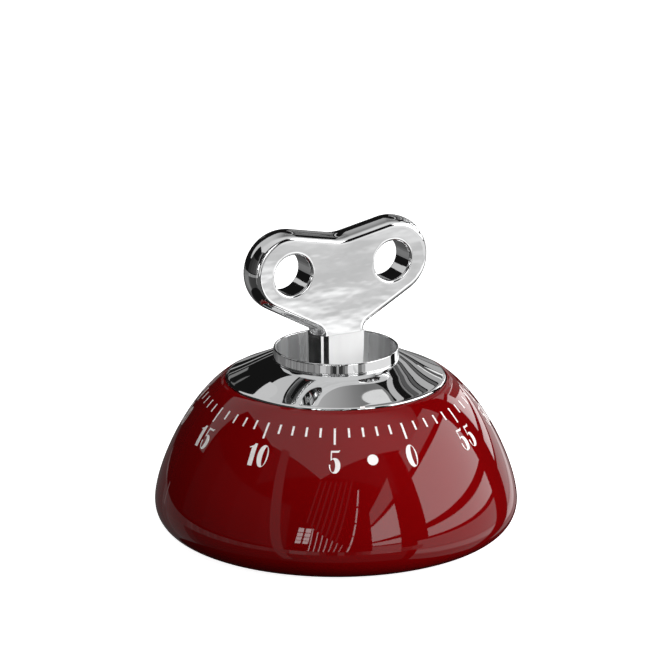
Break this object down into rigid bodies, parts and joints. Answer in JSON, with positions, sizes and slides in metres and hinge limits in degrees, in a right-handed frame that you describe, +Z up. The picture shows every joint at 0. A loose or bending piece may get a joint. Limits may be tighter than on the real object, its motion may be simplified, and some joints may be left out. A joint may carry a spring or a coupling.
{
  "type": "kitchen timer",
  "caption": "Domed wind-up kitchen timer with a minute scale, a polished disc and cup, a butterfly key with finger holes, and a spring movement with a bell.",
  "frame": {"origin": "on the table under the middle of the base", "axes": "+Z up along the knob axis; -Y is the front, where the minute scale reads 5; +X to the right seen from the front"},
  "size_m": [0.076, 0.076, 0.065],
  "materials": {
    "casing_red": "deep gloss",
    "chrome": "mirror polish",
    "dark_plastic": "fine matt",
    "rubber": "matt",
    "screw_steel": "zinc plated",
    "plate_brass": "satin",
    "arbor_steel": "turned",
    "spring_steel": "blued",
    "gear_brass": "satin",
    "nylon": "natural",
    "hammer_steel": "satin",
    "bell_steel": "nickel plated"
  },
  "bodies": {
    "base": {"dome_shell": "casing_red", "base_plate": "dark_plastic", "rubber_feet": "rubber", "base_screws": "screw_steel", "movement_screws": "screw_steel", "lower_plate": "plate_brass", "upper_plate": "plate_brass", "plate_pillars": "plate_brass", "pillar_screws": "screw_steel", "mainspring": "spring_steel", "hairspring": "spring_steel", "hairspring_stud": "arbor_steel", "hammer_spring": "spring_steel", "bell": "bell_steel", "bell_screw": "screw_steel"},
    "knob": {"top_disc": "chrome", "key_cup": "chrome", "winding_key": "chrome", "knob_hub": "dark_plastic", "knob_screws": "screw_steel", "main_arbor": "arbor_steel", "retaining_clip": "spring_steel", "great_wheel": "gear_brass", "clutch_spring": "spring_steel", "clutch_collar": "arbor_steel", "trip_cam": "gear_brass"},
    "second": {"second_pinion": "arbor_steel", "second_wheel": "gear_brass"},
    "third": {"third_pinion": "arbor_steel", "third_wheel": "nylon"},
    "escape": {"escape_pinion": "arbor_steel", "escape_wheel": "nylon"},
    "pallet": {"pallet_lever": "gear_brass", "pallet_pins": "arbor_steel", "pallet_arbor": "arbor_steel"},
    "balance": {"balance_wheel": "gear_brass", "balance_staff": "arbor_steel", "impulse_pin": "arbor_steel"},
    "hammer": {"hammer_arbor": "arbor_steel", "hammer_follower": "hammer_steel", "hammer_head": "hammer_steel"}
  },
  "joints": [
    {"name": "knob_turn", "type": "hinge", "parent": "base", "child": "knob", "pos_m": [0, 0, 0.03], "axis": [0, 0, -1], "range_deg": [-16, 314], "deforming": ["mainspring"]},
    {"name": "second_turn", "type": "hinge", "parent": "base", "child": "second", "pos_m": [0.01541, -0.00561, 0.018], "axis": [0, 0, -1], "range_deg": [-2262.8, 117.2]},
    {"name": "third_turn", "type": "hinge", "parent": "base", "child": "third", "pos_m": [0.01884, 0.00244, 0.018], "axis": [0, 0, -1], "range_deg": [-693.2, 13566.8]},
    {"name": "escape_turn", "type": "hinge", "parent": "base", "child": "escape", "pos_m": [0.01682, 0.00987, 0.018], "axis": [0, 0, -1], "range_deg": [-81390.8, 4149.2]},
    {"name": "balance_swing", "type": "hinge", "parent": "base", "child": "balance", "pos_m": [0.00639, 0.01842, 0.018], "axis": [0, 0, 1], "range_deg": [-25, 25], "stiffness_Nm_per_rad": 0.000001, "deforming": ["hairspring"]},
    {"name": "pallet_swing", "type": "hinge", "parent": "base", "child": "pallet", "pos_m": [0.01264, 0.01485, 0.018], "axis": [0, 0, 1], "range_deg": [-5.1, 5.1]},
    {"name": "hammer_lift", "type": "hinge", "parent": "base", "child": "hammer", "pos_m": [-0.01691, -0.00616, 0.018], "axis": [0, 0, 1], "range_deg": [0, 8], "stiffness_Nm_per_rad": 0.0002, "springref_deg": -5.73, "deforming": ["hammer_spring"]}
  ],
  "couplings": [
    {"joint": "second_turn", "follows": "knob_turn", "ratio": -7.2},
    {"joint": "third_turn", "follows": "knob_turn", "ratio": 43.2},
    {"joint": "escape_turn", "follows": "knob_turn", "ratio": -259.2},
    {"joint": "pallet_swing", "follows": "balance_swing", "ratio": -0.2}
  ]
}
